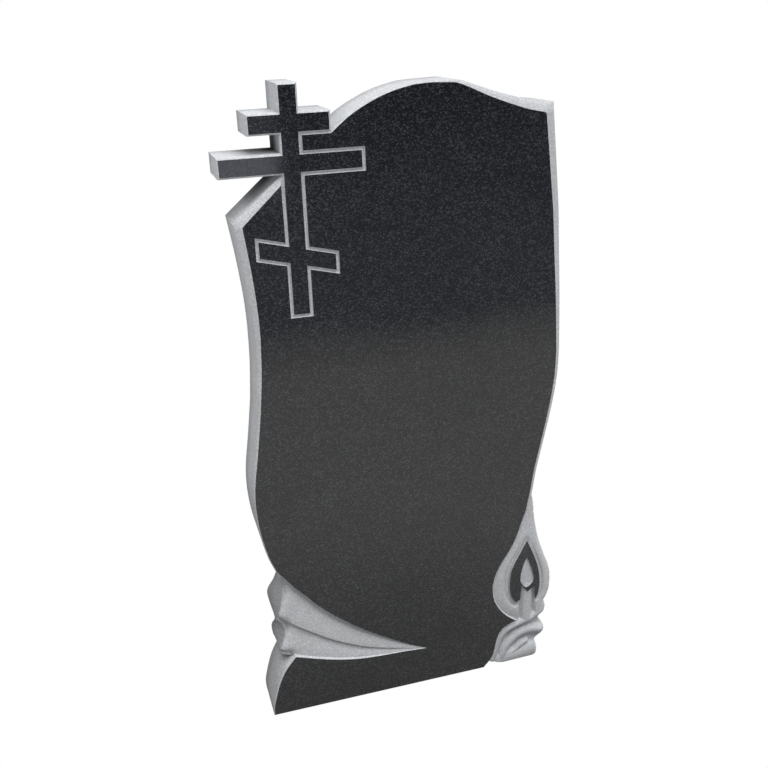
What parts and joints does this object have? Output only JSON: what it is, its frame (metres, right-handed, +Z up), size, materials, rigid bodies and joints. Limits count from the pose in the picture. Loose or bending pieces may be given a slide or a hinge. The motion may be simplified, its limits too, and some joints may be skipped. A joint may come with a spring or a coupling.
{
  "type": "headstone",
  "caption": "Polished dark stone headstone with wavy outline, an Orthodox cross standing partly free at upper left, a carved drape at lower left and a candle in a halo at lower right",
  "frame": {"origin": "middle of the underside of the stone's box, on the ground", "axes": "Z up along the height, X across the face to the viewer's right, Y from the polished face towards the back"},
  "size_m": [0.507, 0.08, 1],
  "materials": {
    "stone": null
  },
  "bodies": {
    "root": {"stele": "stone"}
  },
  "joints": []
}
